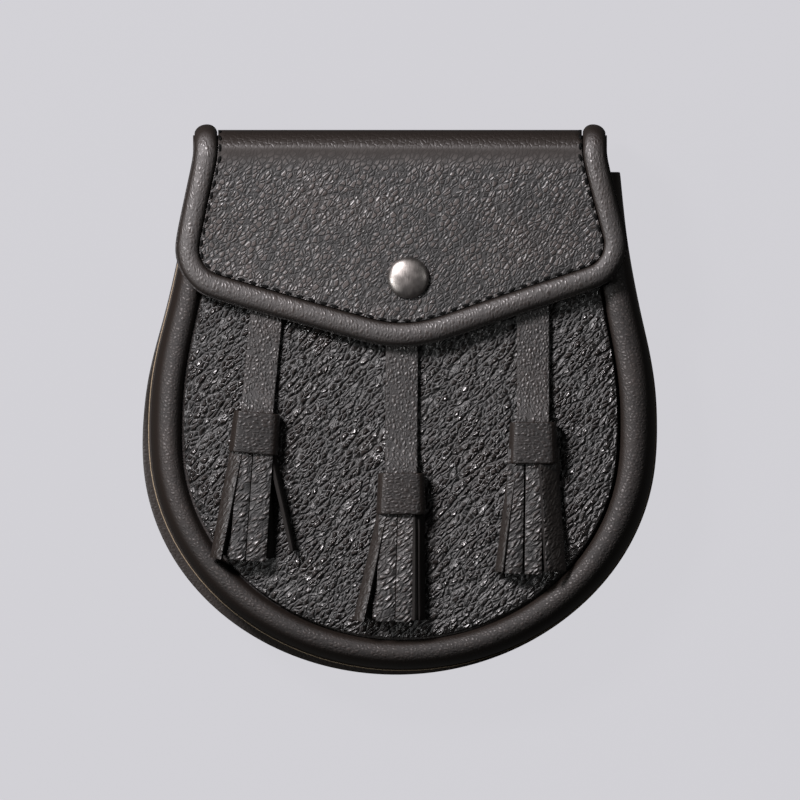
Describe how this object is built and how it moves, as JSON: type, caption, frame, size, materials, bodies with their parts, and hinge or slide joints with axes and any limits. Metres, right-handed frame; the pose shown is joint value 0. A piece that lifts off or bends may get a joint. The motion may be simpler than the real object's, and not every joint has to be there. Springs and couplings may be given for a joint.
{
  "type": "sporran pouch",
  "caption": "Black leather sporran pouch with a rolled gusset, a V-shaped bordered flap held by a domed snap, and hanging fringe tassels on straps.",
  "frame": {"origin": "centre of the part's bounding box, at the level it rests on", "axes": "+Z out of the front, +Y towards the flap's fold, X across the width"},
  "size_m": [0.1854, 0.1984, 0.043],
  "materials": {
    "pebbled_leather": "glossy pebble grain",
    "fine_pebbled_leather": "satin fine pebble grain",
    "smooth_leather": "satin",
    "strap_leather": "satin fine grain",
    "back_leather": "matte",
    "satin_nickel": "satin dark nickel"
  },
  "bodies": {
    "root": {"back_panel": "back_leather", "belt_loop_left": "strap_leather", "belt_loop_right": "strap_leather", "collar_left": "strap_leather", "collar_middle": "strap_leather", "collar_right": "strap_leather", "flap_backing": "smooth_leather", "flap_border": "smooth_leather", "flap_panel": "fine_pebbled_leather", "fringe_left": "pebbled_leather", "fringe_middle": "pebbled_leather", "fringe_right": "pebbled_leather", "front_panel": "pebbled_leather", "gusset": "smooth_leather", "snap_cap": "satin_nickel", "snap_stud": "satin_nickel", "strap_left": "strap_leather", "strap_middle": "strap_leather", "strap_right": "strap_leather"}
  },
  "joints": []
}
